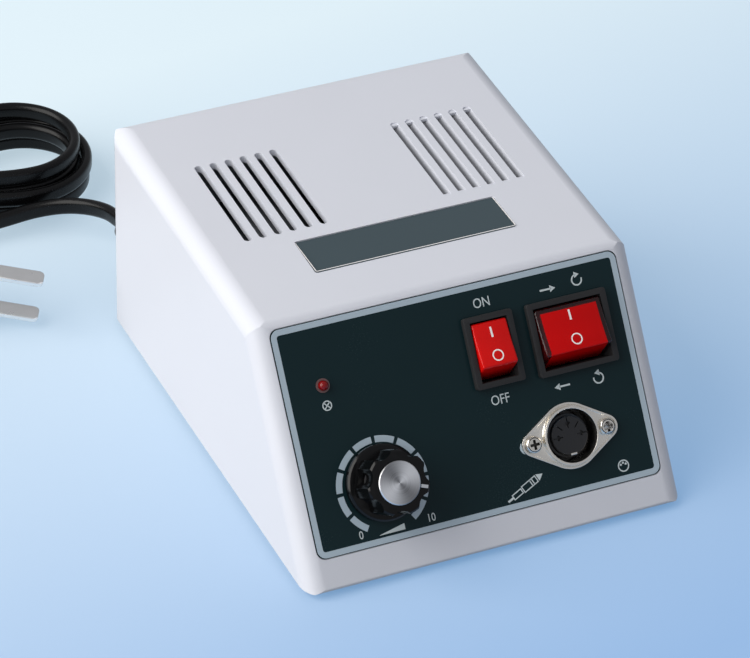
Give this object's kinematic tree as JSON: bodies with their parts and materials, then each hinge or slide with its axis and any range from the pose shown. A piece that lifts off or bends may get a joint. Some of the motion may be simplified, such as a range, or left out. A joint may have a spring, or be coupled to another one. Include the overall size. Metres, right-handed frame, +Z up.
{
  "type": "dental micromotor control box",
  "caption": "Desktop control box for a dental micromotor: sloping panel with speed knob, two rocker switches, lamp and motor socket, and a folded mains cord with plug.",
  "frame": {"origin": "on the table, under the middle of the box without its cord", "axes": "+Z up, -Y towards the front panel, +X to the right of a person facing the panel"},
  "size_m": [0.2258, 0.245, 0.0674],
  "materials": {
    "housing_plastic": "satin",
    "base_plastic": "satin",
    "foot_rubber": "matt",
    "screw_steel": "plated",
    "overlay_film": "gloss",
    "plate_film": "satin",
    "knob_plastic": "gloss",
    "knob_aluminium": "spun",
    "grub_steel": "blackened",
    "shaft_steel": "turned",
    "pot_plastic": "moulded",
    "pot_steel": "plated",
    "terminal_brass": "tinned",
    "frame_plastic": "matt",
    "power_red": "gloss",
    "direction_red": "gloss, translucent",
    "lamp_rim": "gloss",
    "lamp_lens": "gloss, translucent",
    "socket_nickel": "nickel plated",
    "socket_black": "matt",
    "core_steel": "laminated",
    "coil_copper": "taped winding",
    "strap_steel": "plated",
    "board_green": "solder mask",
    "spacer_nylon": "moulded",
    "part_black": "moulded",
    "capacitor_blue": "sleeved",
    "sink_aluminium": "extruded",
    "block_green": "moulded",
    "holder_black": "moulded",
    "fuse_glass": "clear",
    "fuse_metal": "plated",
    "jack_nickel": "nickel plated",
    "cord_rubber": "semi-gloss",
    "plug_rubber": "semi-gloss",
    "blade_nickel": "nickel plated"
  },
  "bodies": {
    "housing": {"upper_shell": "housing_plastic", "base_plate": "base_plastic", "rubber_feet": "foot_rubber", "base_screws": "screw_steel", "transformer_screws": "screw_steel", "board_screws": "screw_steel", "front_overlay": "overlay_film", "name_plate": "plate_film", "pot_body": "pot_plastic", "pot_washer": "pot_steel", "pot_nut": "pot_steel", "pot_terminals": "terminal_brass", "power_switch_terminals": "terminal_brass", "direction_switch_terminals": "terminal_brass", "lamp_leads": "terminal_brass", "socket_contacts": "terminal_brass", "power_switch_frame": "frame_plastic", "direction_switch_frame": "frame_plastic", "lamp_holder": "lamp_rim", "pilot_lamp": "lamp_lens", "socket_flange": "socket_nickel", "socket_screws": "socket_nickel", "socket_nuts": "socket_nickel", "socket_insert": "socket_black", "transformer_core": "core_steel", "transformer_coil": "coil_copper", "transformer_bracket": "strap_steel", "circuit_board": "board_green", "board_standoffs": "spacer_nylon", "rectifier": "part_black", "power_transistor": "part_black", "filter_capacitor": "capacitor_blue", "heat_sink": "sink_aluminium", "terminal_block": "block_green", "fuse_holder": "holder_black", "fuse_nut": "holder_black", "fuse_cap": "holder_black", "foot_jack": "holder_black", "glass_fuse": "fuse_glass", "fuse_ends": "fuse_metal", "foot_jack_nut": "jack_nickel", "cord_gland": "cord_rubber", "cord_lead": "cord_rubber", "cord_hank": "cord_rubber", "cord_tail": "cord_rubber", "cord_tie": "cord_rubber", "plug_body": "plug_rubber", "plug_blades": "blade_nickel"},
    "speed_knob": {"knob_body": "knob_plastic", "knob_cap": "knob_aluminium", "knob_pointer": "knob_aluminium", "knob_grub_screw": "grub_steel", "pot_shaft": "shaft_steel"},
    "power_rocker": {"power_rocker": "power_red"},
    "direction_rocker": {"direction_rocker": "direction_red"}
  },
  "joints": [
    {"name": "speed_turn", "type": "hinge", "parent": "housing", "child": "speed_knob", "pos_m": [-0.0296, -0.06128, 0.02343], "axis": [0, -0.8241, 0.5664], "range_deg": [-40, 260]},
    {"name": "power_rock", "type": "hinge", "parent": "housing", "child": "power_rocker", "pos_m": [0.0101, -0.04127, 0.04346], "axis": [1, 0, 0], "range_deg": [0, 24]},
    {"name": "direction_rock", "type": "hinge", "parent": "housing", "child": "direction_rocker", "pos_m": [0.0338, -0.04165, 0.043], "axis": [1, 0, 0], "range_deg": [0, 24]}
  ]
}
